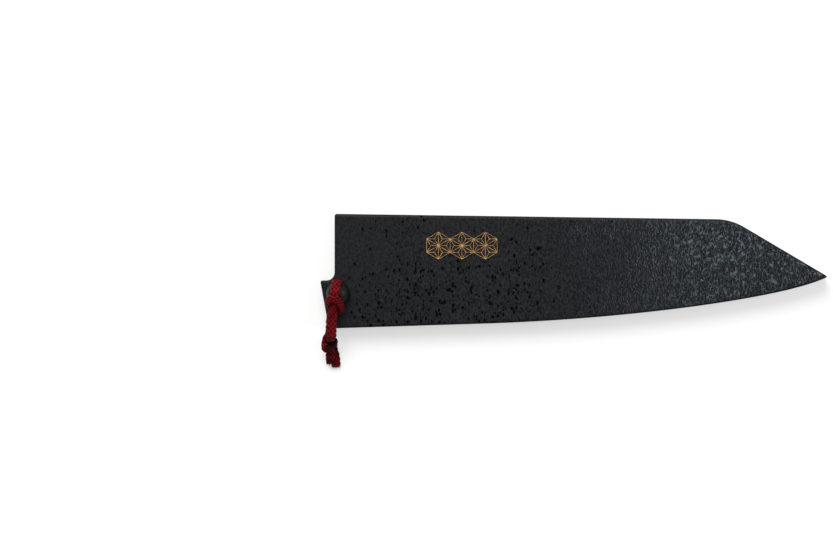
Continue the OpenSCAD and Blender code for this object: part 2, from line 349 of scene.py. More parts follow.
# The route in even steps: centres in metres, the two directions of each section, its
# share of the width, and the way travelled.
def travelled(route, step):
    fine = along(route, np.linspace(0, len(route) - 1, braid["measured"][0]))
    way = np.r_[0, np.cumsum(np.linalg.norm(np.diff(fine[:, :3], axis=0), axis=1))] * mm
    stops = np.linspace(0, way[-1], int(way[-1] / step) + 1)
    even = np.stack([np.interp(stops, way, column) for column in fine.T], 1)
    centres = even[:, :3] * mm + [pegAxis[0], pegAxis[1], faceLevel]
    ahead = unit(np.gradient(centres, axis=0))
    flat = even[:, 3:6]
    flat = unit(flat - (flat * ahead).sum(1, keepdims=True) * ahead)
    return centres, np.cross(ahead, flat), flat, even[:, 6], stops


# Points of a superellipse of half sizes 1, spaced evenly round its length: x = cos a to the
# power 2 / n, y = sin a to the power 2 / n, each with its sign.
def section(sides, proportion):
    angle = np.linspace(0, 2 * np.pi, braid["measured"][1])
    power = 2 / braid["squareness"]
    x = np.sign(np.cos(angle)) * np.abs(np.cos(angle)) ** power
    y = np.sign(np.sin(angle)) * np.abs(np.sin(angle)) ** power
    way = np.r_[0, np.cumsum(np.hypot(np.diff(x), np.diff(y) * proportion))]
    stops = np.arange(sides) / sides * way[-1]
    return np.interp(stops, way, x), np.interp(stops, way, y)


# Braid: yarns climb round the cord both ways. A yarn's own height is a parabola across
# it, and it goes over and under the others by a sine along it. The higher yarn shows.
def plaitHeight(round01, steps):
    one = round01 * braid["plaits"] + steps / braid["pitch"]
    other = round01 * braid["plaits"] - steps / braid["pitch"]
    oneIn, otherIn = one - np.floor(one), other - np.floor(other)
    turn = 1 - 2 * ((np.floor(one) + np.floor(other)) % 2)
    crownOne = 1 - (2 * oneIn - 1) ** 2
    crownOther = 1 - (2 * otherIn - 1) ** 2
    dive = braid["dive"]
    heightOne = crownOne * (1 - dive) + dive * turn * np.sin(np.pi * otherIn)
    heightOther = crownOther * (1 - dive) - dive * turn * np.sin(np.pi * oneIn)
    over = heightOne >= heightOther
    return np.where(over, heightOne, heightOther), np.where(over, oneIn, otherIn)


# Painted shade: how much of it a place on the way holds, by how far it is inside a shaded stretch.
def shadeFromStretches(stops, stretches):
    paintedShade = np.zeros(len(stops))
    for start, end, amount in stretches:
        inside = np.minimum(stops - start * mm, end * mm - stops) / braid["shadeEdge"]
        paintedShade = np.maximum(paintedShade, smoothStep(np.clip(inside, 0, 1)) * amount)
    return paintedShade


# A strand: the section is carried along the route. A point is the centre plus x times the
# sideways direction plus y times the flat one, and a plait's rise moves it outwards.
def braidedStrand(name, route, phase, shaded, seed):
    centres, sideways, flat, share, stops = travelled(route, braid["ringStep"])
    ringCount, sides = len(centres), braid["sides"]
    x, y = section(sides, braid["thickness"] / braid["width"])
    halfWidth = braid["width"] / 2 * share[:, None]
    halfThick = braid["thickness"] / 2 * (1 + braid["swell"] * (1 - share))[:, None]
    around = np.arange(sides)[None, :] / sides
    # The hills are read along a ring, so that they meet where the section closes
    turn, way = 2 * np.pi * around, stops[:, None] / braid["likeness"]
    stray = hills(way + 1.2 * np.cos(turn), 9 + 1.2 * np.sin(turn), seed) - 0.5
    shift = (phase + braid["loose"] * stray) * braid["pitch"]
    height, acrossYarn = plaitHeight(around, stops[:, None] + shift)
    bulge = hills(1.7 * way + np.cos(turn), 40 + np.sin(turn), seed + 1) - 0.6
    height = height * (1 + braid["uneven"] * bulge)
    # Painted shade along the strand, kept for the material; the braid is also flattened there
    paintedShade = shadeFromStretches(stops, shaded)[:, None] * np.ones(sides)
    height = height * (1 - braid["flattened"] * paintedShade)
    # The cut end closes over a short length, as a quarter circle does
    left = np.clip((stops[-1] - stops) / braid["endRound"], 0, 1)[:, None]
    closing = np.sqrt(np.maximum(1 - (1 - left) ** 2, 0.0))
    power = braid["squareness"] - 1
    outX = np.sign(x) * np.abs(x) ** power * braid["thickness"] / braid["width"]
    out = unit(np.stack([outX, np.sign(y) * np.abs(y) ** power], 1))
    rise = height * braid["rise"]
    inX = (x[None, :] * halfWidth + out[None, :, 0] * rise) * closing
    inY = (y[None, :] * halfThick + out[None, :, 1] * rise) * closing
    points = (centres[:, None, :] + inX[..., None] * sideways[:, None, :]
              + inY[..., None] * flat[:, None, :]).reshape(-1, 3)
    points = np.vstack([points[:-sides], centres[:1], centres[-1:]])
    rings = ringCount - 1
    faces = gridFaces(rings, sides, around=True)[:, ::-1].tolist()
    hub, tip, base = rings * sides, rings * sides + 1, (rings - 1) * sides
    faces += [[(k + 1) % sides, hub, k][::-1] for k in range(sides)]
    faces += [[base + k, base + (k + 1) % sides, tip][::-1] for k in range(sides)]
    piece = meshObject(name, points, faces)
    piece.data.shade_smooth()
    # The last two points are the middles of the ends
    shade = np.r_[height[:-1].ravel(), 0.5, 0.2]
    thread = np.r_[acrossYarn[:-1].ravel(), 0.5, 0.5]
    shadeValues = np.r_[paintedShade[:-1].ravel(), paintedShade[0, 0], paintedShade[-1, 0]]
    for label, values in (("plait", shade), ("thread", thread), ("paintedShade", shadeValues)):
        layer = piece.data.attributes.new(label, "FLOAT", "POINT")
        layer.data.foreach_set("value", values.astype(np.float32))
    return piece, centres, sideways[-1], flat[-1], stops[-1]


fray = {
    "filaments": 60,  # at a cut end
    "rings": 5,  # of points along a filament
    "spread": [0.42, 0.38],  # share of the cord's width and thickness that they fill
    "fan": (1.1, 0.9),  # how much they lean outwards, across the width and the thickness
    "root": 0.5 * mm,  # length inside the cord
    "reach": (0.3, 0.75),  # length outside, in millimetres
    "stray": 0.16,  # of their directions
    "bend": 0.18,  # of their ends, in millimetres
    "radius": 0.055 * mm,
    "taper": 0.8,  # share of the radius lost at the end
}


# Filaments that stand out of a cut end: each is a thin three-sided taper on a bent line.
def frayedEnd(name, centre, sideways, flat, seed):
    draw = np.random.default_rng(seed)
    count, rings = fray["filaments"], fray["rings"]
    ahead = np.cross(flat, sideways)
    spread = draw.uniform(-1, 1, (count, 2)) * fray["spread"]
    root = (centre - ahead * fray["root"] + spread[:, :1] * braid["width"] * sideways
            + spread[:, 1:] * braid["thickness"] * flat)
    reach = draw.uniform(*fray["reach"], (count, 1)) * mm
    aim = unit(ahead + spread[:, :1] * fray["fan"][0] * sideways
               + spread[:, 1:] * fray["fan"][1] * flat + draw.normal(0, fray["stray"], (count, 3)))
    bend = draw.normal(0, fray["bend"], (count, 3)) * mm
    t = np.linspace(0, 1, rings)[None, :, None]
    length = reach[:, None] + fray["root"]
    line = root[:, None] + aim[:, None] * length * t + bend[:, None] * t ** 2
    thick = fray["radius"] * (1 - fray["taper"] * t)
    one = unit(np.cross(aim, sideways + 0.3 * flat))  # any direction across the filament
    two = np.cross(aim, one)
    angle = np.arange(3) * 2 * np.pi / 3
    ring = (np.cos(angle)[None, None, :, None] * one[:, None, None]
            + np.sin(angle)[None, None, :, None] * two[:, None, None])
    points = (line[:, :, None] + ring * thick[..., None]).reshape(-1, 3)
    single = gridFaces(rings, 3, around=True)
    caps = [[2, 1, 0], [rings * 3 - 3, rings * 3 - 2, rings * 3 - 1]]
    faces = []
    for k in range(count):
        faces += (single + k * rings * 3).tolist()
        faces += [[corner + k * rings * 3 for corner in cap] for cap in caps]
    piece = meshObject(name, points, faces)
    piece.data.shade_smooth()
    return piece


def addCord():
    strands = {}
    for name, route, phase, shaded, seed, covered in (
            ("frontStrand", frontRoute, 0.0, shadedStretches["front"], 11,
             ("cord_over_head", "cord_front_leg", "cord_front_tail")),
            ("backStrand", backRoute, 0.4, shadedStretches["back"], 12,
             ("cord_hitch", "cord_back_leg", "cord_end_knot", "cord_back_tail"))):
        piece, centres, sideways, flat, length = braidedStrand(
            name, route, phase, shaded, seed + 10)
        tuft = frayedEnd(name + "Fray", centres[-1], sideways, flat, seed)
        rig.ride(piece, "retaining_peg")
        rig.ride(tuft, "retaining_peg")
        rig.replaces(piece, *covered)
        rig.slot(piece, "cord_braid")
        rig.slot(tuft, "cord_braid")
        fromEye = np.linalg.norm(centres - centres[0], axis=1)
        eye = centres[np.argmin(np.abs(fromEye - headRadius))]
        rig.cord(piece, exit=eye, length=length, diameter=4.3 * mm, far_end="bare", stiffness="limp",
                lay="loose", path=centres[::4], with_pieces=[tuft])
        strands[name] = piece
        strands[name + "Fray"] = tuft
        print(name, "is", round(length / mm, 1), "mm long")
    return strands


cordPieces = addCord()


# Boards: a lacquered skin over the outline that the frame's own board has

lacquerCoat = {
    "rounding": 1.2 * mm,  # of the outer edge
    "spacing": 0.45 * mm,  # of the grid
    "rimRows": (0, 0.02, 0.08, 0.18, 0.32, 0.5, 0.72, 0.98),  # its first rows, millimetres in
    "height": 50 * mm,  # of the guard, for the spacing of its rows
    "relief": 0.07 * mm,  # depth of the stone pattern
    "grain": 1.15 * mm,  # size of its hills
    "flat": 0.3,  # height under which the hills are cut off
    "full": 0.45,  # and how much higher they reach their full depth
    "fadeIn": 1.0 * mm,  # from the rim
    "lugEnd": 6 * mm,  # how far from the guard's left end the lug's own end is looked for
    "aheadFrom": (0.02, 0.018),  # share of each chain at which the lower one goes ahead
    "mouth": 0.17,  # share of the lower chain that faces the mouth
    "longer": 1.16,  # a chain's length over the guard's
    "boreRadius": 2.55 * mm,
    "sharpFrom": 32,  # degrees between faces
}


# The outline of a board's flat face in order, from the border edges of that face
def outlineOf(node, level):
    work = bmesh.new()
    work.from_mesh(nodes[node].data)
    bmesh.ops.remove_doubles(work, verts=work.verts, dist=1e-7)
    flat = [f for f in work.faces if all(abs(v.co.z - level) < 1e-6 for v in f.verts)]
    uses = {}
    for face in flat:
        for edge in face.edges:
            uses[edge] = uses.get(edge, 0) + 1
    links = {}
    for edge in (e for e, count in uses.items() if count == 1):
        for one, other in (edge.verts, reversed(edge.verts)):
            links.setdefault(one.index, []).append(other.index)
    work.verts.ensure_lookup_table()
    loops, left = [], set(links)
    while left:
        start = min(left)
        walk, previous, here = [start], None, start
        while True:
            onward = [v for v in links[here] if v != previous]
            if not onward or onward[0] == start:
                break
            previous, here = here, onward[0]
            walk.append(here)
        left -= set(walk)
        loops.append(np.array([work.verts[v].co[:2] for v in walk]))
    work.free()
    rim = max(loops, key=lambda loop: np.ptp(loop[:, 0]))
    x, y = rim.T
    if (x * np.roll(y, -1) - np.roll(x, -1) * y).sum() > 0:
        rim = rim[::-1]
    return rim


# Distance of each point to the closed outline
def toRim(points, rim):
    nearest = np.full(len(points), np.inf)
    for start, end in zip(rim, np.roll(rim, -1, axis=0)):
        run = end - start
        t = np.clip(((points - start) @ run) / (run @ run), 0, 1)
        nearest = np.minimum(nearest, np.hypot(*(points - start - t[:, None] * run).T))
    return nearest


def spaced(chain, stops):
    way = np.r_[0, np.cumsum(np.linalg.norm(np.diff(chain, axis=0), axis=1))]
    return np.stack([np.interp(stops * way[-1], way, column) for column in chain.T], 1)


# Two chains that bound the outline from the lug's end to the tip, with points that face
# each other. The lower one goes ahead while the upper one climbs the mouth.
def twoChains(rim, columns):
    lengths = np.linalg.norm(np.roll(rim, -1, axis=0) - rim, axis=1)
    lengths[rim[:, 0] > rim[:, 0].min() + lacquerCoat["lugEnd"]] = 0
    first = int(np.argmax(lengths))
    rim = np.roll(rim, -(first + 1), axis=0)
    tip = int(np.argmax(rim[:, 0]))
    upper, lower = rim[:tip + 1], rim[:tip - 1:-1]
    climb = int(np.argmax(upper[:, 1]))
    way = np.r_[0, np.cumsum(np.linalg.norm(np.diff(upper, axis=0), axis=1))]
    mouthTop = way[climb] / way[-1]
    stops = np.linspace(0, 1, columns)
    upperFrom, lowerFrom = lacquerCoat["aheadFrom"]
    under = np.interp(stops, [0, upperFrom, mouthTop, 1], [0, lowerFrom, lacquerCoat["mouth"], 1])
    return spaced(upper, stops), spaced(lower, under)


# The coat: each point lies on a straight line between the chains. Its height falls by a
# quarter circle near the rim and by the stone pattern elsewhere, which is six tenths of
# coarse hills and four tenths of finer ones, cut off below and above.
def coatedBoard(name, node, outer, inner, seed):
    way = 1 if outer > inner else -1
    rim = outlineOf(node, inner)
    columns = int(np.ptp(rim[:, 0]) * lacquerCoat["longer"] / lacquerCoat["spacing"])
    upper, lower = twoChains(rim, columns)
    near = np.array(lacquerCoat["rimRows"]) * mm / lacquerCoat["height"]
    rowCount = int(lacquerCoat["height"] / lacquerCoat["spacing"])
    middle = np.linspace(near[-1], 1 - near[-1], rowCount)[1:-1]
    across = np.r_[near, middle, 1 - near[::-1]][:, None, None]
    flatPoints = (upper[None] * (1 - across) + lower[None] * across).reshape(-1, 2)
    inside = toRim(flatPoints, rim)
    rounding = lacquerCoat["rounding"]
    fall = rounding - np.sqrt(rounding ** 2 - (rounding - np.minimum(inside, rounding)) ** 2)
    x, y = (flatPoints / lacquerCoat["grain"]).T
    stone = 0.6 * hills(x, y * 0.8, seed) + 0.4 * hills(x * 2.1, y * 1.7, seed + 1)
    fade = np.clip(inside / lacquerCoat["fadeIn"], 0, 1)
    stone = np.clip((stone - lacquerCoat["flat"]) / lacquerCoat["full"], 0, 1)
    stone = lacquerCoat["relief"] * fade * stone
    level = outer - way * (fall + stone)
    rows = len(across)
    points = np.column_stack([flatPoints, level])
    grid = np.arange(rows * columns).reshape(rows, columns)
    border = np.r_[grid[0, :-1], grid[:-1, -1], grid[-1, :0:-1], grid[:0:-1, 0]]
    foot = points[border].copy()
    foot[:, 2] = inner
    faces = gridFaces(rows, columns)
    total, turns = rows * columns, len(border)
    step = np.arange(turns)
    onward = (step + 1) % turns
    wall = np.stack([border[step], border[onward], total + onward, total + step], 1)[:, ::-1]
    faces = faces.tolist() + wall.tolist() + [(total + step).tolist()]
    piece = meshObject(name, np.vstack([points, foot]), faces)
    work = bmesh.new()
    work.from_mesh(piece.data)
    bmesh.ops.remove_doubles(work, verts=work.verts, dist=2e-6)
    bmesh.ops.dissolve_degenerate(work, edges=work.edges, dist=1e-6)
    bmesh.ops.recalc_face_normals(work, faces=work.faces)
    work.to_mesh(piece.data)
    work.free()
    return piece


past = 10 * mm  # how far a cutting tool stands out of what it cuts


# A straight cylinder as a tool for cutting
def rod(radius, start, end, sides=96):
    start, end = np.array(start, float), np.array(end, float)
    axis = unit(end - start)
    one = unit(np.cross(axis, [0.3, 0.5, 0.7]))
    two = np.cross(axis, one)
    angle = np.arange(sides) * 2 * np.pi / sides
    ring = radius * (np.cos(angle)[:, None] * one + np.sin(angle)[:, None] * two)
    points = np.vstack([start + ring, end + ring])
    faces = gridFaces(2, sides, around=True).tolist()
    faces += [list(range(sides))[::-1], list(range(sides, 2 * sides))]
    return meshObject("rod", points, faces)


def cut(piece, tool):
    cutter = piece.modifiers.new("cut", "BOOLEAN")
    cutter.operation = "DIFFERENCE"
    cutter.solver = "EXACT"
    cutter.object = tool
    result = piece.evaluated_get(bpy.context.evaluated_depsgraph_get())
    data = bpy.data.meshes.new_from_object(result)
    piece.modifiers.clear()
    old = piece.data
    piece.data = data
    bpy.data.meshes.remove(old)
    bpy.data.objects.remove(tool)


def addBoards():
    made = {}
    for name, node, outer, inner, seed in (
            ("frontCoat", "front_board", boardHigh.z, boardLow.z, 21),
            ("backCoat", "back_board", backLow.z, backHigh.z, 41)):
        piece = coatedBoard(name, node, outer, inner, seed)
        bore = rod(lacquerCoat["boreRadius"], (*pegAxis, inner - past), (*pegAxis, outer + past))
        cut(piece, bore)
        smooth(piece, lacquerCoat["sharpFrom"])
        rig.ride(piece, "sheath")
        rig.replaces(piece, node)
        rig.slot(piece, "lacquered_board")
        made[name] = piece
        print(name, "has", len(piece.data.polygons), "faces")
    return made


boardPieces = addBoards()


# Peg: a turned profile with the cord's eye drilled through its head

turnedPeg = {
    "shankRadius": 2.5 * mm,
    "chamfer": 0.7 * mm,
    "eyeRadius": 2.1 * mm,
    "eyeHeight": 3.2 * mm,  # of its axis above the front face
    "edge": 0.25 * mm,  # rounding under the head
    "sides": 128,
    "steps": 60,  # of the ball's profile
    "sharpFrom": 35,  # degrees between faces
}


# The profile is turned round the peg's axis: radius and height along it, from end to top.
def addPeg():
    ball = pegHigh.z - headRadius
    shank, chamfer, edge = turnedPeg["shankRadius"], turnedPeg["chamfer"], turnedPeg["edge"]
    low = math.asin((faceLevel + edge - ball) / headRadius)
    sweep = np.linspace(low, math.pi / 2, turnedPeg["steps"])[:-1]
    base = headRadius * math.cos(low)
    lip = np.linspace(-math.pi / 2, low, 7)[:-1]
    radius = np.r_[shank - chamfer, shank, shank, base - edge * 1.2,
                   base - edge + edge * np.cos(lip), headRadius * np.cos(sweep)]
    height = np.r_[pegLow.z, pegLow.z + chamfer, faceLevel, faceLevel,
                   faceLevel + edge + edge * np.sin(lip), ball + headRadius * np.sin(sweep)]
    angle = np.arange(turnedPeg["sides"]) * 2 * np.pi / turnedPeg["sides"]
    points = np.stack([pegAxis[0] + radius[:, None] * np.cos(angle),
                       pegAxis[1] + radius[:, None] * np.sin(angle),
                       np.repeat(height[:, None], len(angle), 1)], -1).reshape(-1, 3)
    sides, rows = len(angle), len(radius)
    points = np.vstack([points, [*pegAxis, pegLow.z], [*pegAxis, pegHigh.z]])
    faces = gridFaces(rows, sides, around=True).tolist()
    faces += [[(k + 1) % sides, k, rows * sides] for k in range(sides)]
    top = (rows - 1) * sides
    faces += [[top + k, top + (k + 1) % sides, rows * sides + 1] for k in range(sides)]
    piece = meshObject("turnedPeg", points, faces)
    eye = faceLevel + turnedPeg["eyeHeight"]
    cut(piece, rod(turnedPeg["eyeRadius"], (pegAxis[0], pegAxis[1] - past, eye),
                   (pegAxis[0], pegAxis[1] + past, eye)))
    smooth(piece, turnedPeg["sharpFrom"])
    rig.ride(piece, "retaining_peg")
    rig.replaces(piece, "peg")
    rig.slot(piece, "peg_wood")
    print("peg turned")
    return piece


pegPiece = addPeg()


# Materials. A group gives colours, masks and heights; the shader stays in the material.

def newGroup(name, inputs, outputs):
    group = bpy.data.node_groups.new(name, "ShaderNodeTree")
    for label, kind, value in inputs:
        socket = group.interface.new_socket(
            name=label, in_out="INPUT", socket_type="NodeSocket" + kind)
        socket.default_value = value
    for label, kind in outputs:
        group.interface.new_socket(
            name=label, in_out="OUTPUT", socket_type="NodeSocket" + kind)
    return group, group.nodes.new("NodeGroupInput"), group.nodes.new("NodeGroupOutput")


class Wires:
    # Short ways to add and link nodes in one tree
    def __init__(self, tree):
        self.tree = tree

    def node(self, kind, **values):
        made = self.tree.nodes.new(kind)
        for label, value in values.items():
            setattr(made, label, value)
        return made

    def feed(self, socket, value):
        if isinstance(value, bpy.types.NodeSocket):
            self.tree.links.new(value, socket)
        elif value is not None:
            socket.default_value = value

    # Values or links for the inputs of a node, by their names or numbers
    def fill(self, made, values):
        for label, value in values.items():
            self.feed(made.inputs[label], value)
        return made

    def math(self, operation, *values, clamp=False):
        made = self.node("ShaderNodeMath", operation=operation, use_clamp=clamp)
        return self.fill(made, dict(enumerate(values))).outputs[0]

    def times(self, one, two):
        return self.math("MULTIPLY", one, two)

    def minus(self, one, two):
        return self.math("SUBTRACT", one, two)

    # One times two plus three
    def timesPlus(self, one, two, three):
        return self.math("MULTIPLY_ADD", one, two, three)

    # 0 up to low, 1 from high on, with a smooth step between
    def ramp(self, value, low, high, out=(0.0, 1.0)):
        made = self.node("ShaderNodeMapRange", interpolation_type="SMOOTHSTEP")
        return self.fill(made, dict(enumerate((value, low, high, *out)))).outputs[0]

    def mix(self, factor, one, two):
        made = self.node("ShaderNodeMix", data_type="RGBA", blend_type="MIX")
        return self.fill(made, {"Factor": factor, 6: one, 7: two}).outputs[2]

    def noise(self, vector, scale, detail=2.0, roughness=0.5, distortion=0.0, given="Fac"):
        return self.fill(self.node("ShaderNodeTexNoise"), {
            "Vector": vector, "Scale": scale, "Detail": detail, "Roughness": roughness,
            "Distortion": distortion}).outputs[given]

    def place(self):
        return self.node("ShaderNodeTexCoord").outputs["Object"]

    def placeInMm(self):
        return self.stretched(self.place(), (1000.0, 1000.0, 1000.0))

    def stretched(self, vector, scale, shift=(0.0, 0.0, 0.0), turn=0.0):
        return self.fill(self.node("ShaderNodeMapping"), {
            "Vector": vector, "Scale": scale, "Rotation": (0.0, 0.0, turn),
            "Location": shift}).outputs[0]

    # Noise at a stretched place
    def cloud(self, vector, scale, *values, shift=(0.0, 0.0, 0.0)):
        return self.noise(self.stretched(vector, scale, shift), 1.0, *values)

    # The place shaken by a noise, so that what is drawn there gets an uneven edge
    def shaken(self, vector, scale, amount):
        shift = self.node("ShaderNodeVectorMath", operation="MULTIPLY_ADD")
        noise = self.noise(vector, scale, given="Color")
        return self.fill(shift, {0: noise, 1: (amount, amount, amount), 2: vector}).outputs[0]

    # Spots in some cells of a jumbled lattice. A cell has one when its random number is
    # above 1 - share, and the spot is the larger the further the number is above.
    def spots(self, vector, share, small, large, edge):
        cells = self.fill(self.node("ShaderNodeTexVoronoi"), {"Vector": vector, "Scale": 1.0})
        number = self.parts(cells.outputs["Color"])[0]
        above = self.minus(self.math("ADD", number, share), 1.0)
        above = self.math("DIVIDE", above, share)
        radius = self.timesPlus(above, large - small, small)
        spot = self.ramp(self.minus(cells.outputs["Distance"], radius), edge, 0.0)
        return self.times(spot, self.math("GREATER_THAN", above, 0.0))

    def parts(self, vector):
        made = self.node("ShaderNodeSeparateXYZ")
        self.feed(made.inputs[0], vector)
        return made.outputs


def grey(red, green, blue):
    # An 8-bit screen colour as the linear one that the shader takes
    def linear(value):
        value = value / 255
        return value / 12.92 if value <= 0.04045 else ((value + 0.055) / 1.055) ** 2.4
    return (linear(red), linear(green), linear(blue), 1.0)


lacquer = {
    "nearGround": grey(28, 29, 30),
    "ground": grey(33, 34, 36),
    "farGround": grey(27, 29, 33),
    "pit": grey(1, 1, 2),
    # The next three colours are painted highlights: glints of light on the stone relief
    "glint": grey(86, 89, 96),
    "coolGlint": grey(74, 88, 92),
    "glintDrop": grey(98, 109, 114),
    # Where something comes in, from and to, along the guard or across it in millimetres
    "glintsAlong": (-30.0, 70.0),
    "glintDropsAlong": (25.0, 68.0),
    "pitsAlong": (0.0, -30.0),
    "pitsPastLug": (-103.0, -87.0),
    "pitsAcross": (16.0, -8.0),
    "groundAlong": (-115.0, -50.0),
    "mottleAlong": (-108.0, -70.0),
    # Across the guard, over which the painted glints go from darker below to lighter above
    "paintedLightAcross": (-22.0, 26.0),
    "drift": 60.0,  # by which a broad noise shifts these places
    # Shares, sizes in cells and strengths
    "pitShare": 0.55,
    "pitSizes": (0.15, 0.6),
    "speckShare": 0.4,
    "speckSizes": (0.2, 0.5),
    "fineGlints": (0.06, 0.7),
    "coarseGlints": (0.0, 0.79),
    "glintDrops": 0.64,
    "mottle": (0.0, 0.8),
    "roughness": (0.4, 0.52),
    "specular": 0.03,
    "coat": 0.12,
    "coatRoughness": 0.42,
    "bump": 0.1 * mm,
}


# Stone lacquer: a dull ground with dark pits towards the mouth and the cutting side, and
# painted glints, pale highlights of light on the relief that grow from fine strokes into round
# drops towards the tip. Up is how far the surface faces up or down, and the rounded rim between face and wall has no
# painted glints.
def stoneGroup():
    group, given, result = newGroup("stoneLacquer", [("Up", "Float", 1.0)], [
        ("Colour", "Color"), ("Roughness", "Float"), ("Coat", "Float"), ("Height", "Float")])
    w = Wires(group)
    inMm = w.placeInMm()
    x, y, _ = w.parts(inMm)
    drift = w.times(w.minus(w.noise(inMm, 0.06, 2.0), 0.5), lacquer["drift"])
    toTip = w.ramp(w.math("ADD", x, drift), *lacquer["glintsAlong"])
    atTip = w.ramp(w.timesPlus(drift, 0.5, x), *lacquer["glintDropsAlong"])
    down = w.ramp(w.math("ADD", y, w.times(drift, 0.4)), *lacquer["pitsAcross"])

    # Pits crowd where a broad noise is high. Specks lie everywhere.
    crowd = w.cloud(inMm, (0.13, 0.13, 0.13), 1.0, shift=(7.0, 2.0, 0.0))
    room = w.times(down, w.ramp(crowd, 0.3, 0.65, (0.5, 1.0)))
    bothEnds = w.times(w.ramp(w.timesPlus(drift, 0.3, x), *lacquer["pitsAlong"]),
                       w.ramp(x, *lacquer["pitsPastLug"]))
    room = w.times(w.math("ADD", room, 0.1), bothEnds)
    pitPlace = w.shaken(w.stretched(inMm, (0.85, 0.6, 0.45), (0.0, 0.0, -3.5)), 2.2, 0.8)
    pitShare = w.timesPlus(room, lacquer["pitShare"], 0.001)
    pits = w.spots(pitPlace, pitShare, *lacquer["pitSizes"], 0.05)
    pits = w.times(pits, w.math("GREATER_THAN", room, 0.01))
    speckPlace = w.shaken(w.stretched(inMm, (1.9, 1.3, 0.8), (11.0, 4.0, 0.0)), 2.0, 0.5)
    specks = w.spots(speckPlace, lacquer["speckShare"], *lacquer["speckSizes"], 0.15)

    # Painted glints: fine upright strokes, then coarser ones, then loose patches near the tip. A
    # stroke is where a noise is above the same noise a stroke's width aside.
    def strokes(scale, shift, turn, detail):
        here, aside = (
            w.noise(w.stretched(inMm, scale, (shift[0] + move, *shift[1:]), turn), 1.0, detail)
            for move in (0.0, 1.0))
        return w.minus(here, aside)

    fine = strokes((2.2, 1.0, 1.0), (0.0, 0.0, 0.0), -0.1, 0.0)
    coarse = strokes((1.7, 0.85, 0.8), (3.0, 8.0, 0.0), 0.05, 1.0)
    patchy = w.cloud(inMm, (0.62, 0.5, 0.4), 4.0, 0.7, shift=(5.0, 3.0, 0.0))
    fine = w.times(w.ramp(fine, 0.0, 0.45), w.ramp(toTip, 0.05, 0.8, lacquer["fineGlints"]))
    coarse = w.times(w.ramp(coarse, 0.05, 0.4),
                     w.ramp(toTip, 0.25, 1.0, lacquer["coarseGlints"]))
    steep = w.math("ABSOLUTE", given.outputs["Up"])
    face = w.math("MAXIMUM", w.ramp(steep, 0.85, 0.995), w.ramp(steep, 0.3, 0.05, (0.0, 0.8)))
    cluster = w.cloud(inMm, (0.42, 0.36, 0.3), 2.0, 0.6, shift=(2.0, 6.0, 0.0))
    # Painted light: the glints are lighter towards the top edge and darker towards the bottom, as light from above
    # falls
    litFromAbove = w.ramp(y, *lacquer["paintedLightAcross"], (0.7, 1.1))
    strength = w.times(w.ramp(cluster, 0.36, 0.62, (0.5, 1.1)), litFromAbove)
    glint = w.times(w.math("MAXIMUM", fine, coarse), w.times(strength, face))
    glintDrop = w.times(w.times(w.ramp(patchy, 0.54, 0.64), w.times(atTip, lacquer["glintDrops"])),
                   w.times(litFromAbove, face))

    mottle = w.cloud(inMm, (1.6, 0.8, 1.2), 3.0, 0.65)
    ground = w.ramp(x, *lacquer["groundAlong"])
    ground = w.mix(ground, lacquer["nearGround"], lacquer["ground"])
    ground = w.mix(toTip, ground, lacquer["farGround"])
    uneven = w.times(w.ramp(mottle, 0.62, 0.36, lacquer["mottle"]),
                     w.ramp(x, *lacquer["mottleAlong"], (0.6, 1.0)))
    ground = w.mix(uneven, ground, lacquer["pit"])
    ground = w.mix(w.times(specks, 0.5), ground, lacquer["pit"])
    tint = w.cloud(inMm, (0.7, 0.5, 0.5), 2.0, shift=(9.0, 1.0, 0.0))
    tint = w.ramp(tint, 0.35, 0.65)
    colour = w.mix(glint, ground, w.mix(tint, lacquer["glint"], lacquer["coolGlint"]))
    colour = w.mix(glintDrop, colour, lacquer["glintDrop"])
    colour = w.mix(pits, colour, lacquer["pit"])
    w.feed(result.inputs["Colour"], colour)
    rough = w.ramp(mottle, 0.3, 0.7, lacquer["roughness"])
    w.feed(result.inputs["Roughness"], w.timesPlus(pits, 0.2, rough))
    coat = lacquer["coat"]
    w.feed(result.inputs["Coat"], w.timesPlus(pits, -coat, coat))
    height = w.timesPlus(w.math("MAXIMUM", glint, glintDrop), 0.5, w.times(pits, -0.8))
    w.feed(result.inputs["Height"], w.timesPlus(mottle, 0.6, height))
    return group


ornament = {
    "middle": (-49.5, 11.3),  # millimetres, in the guard's own directions
    "reach": 6.0,  # from the middle of a hexagon to its corner
    "count": 3,
    "line": 0.14,  # width of a painted line
    "wander": 0.22,  # how far the lines stray from straight
    "gold": grey(214, 166, 104),
    "worn": grey(160, 120, 72),
    "smoother": -0.06,  # change of roughness on the gold
    "metallic": 0.35,
}


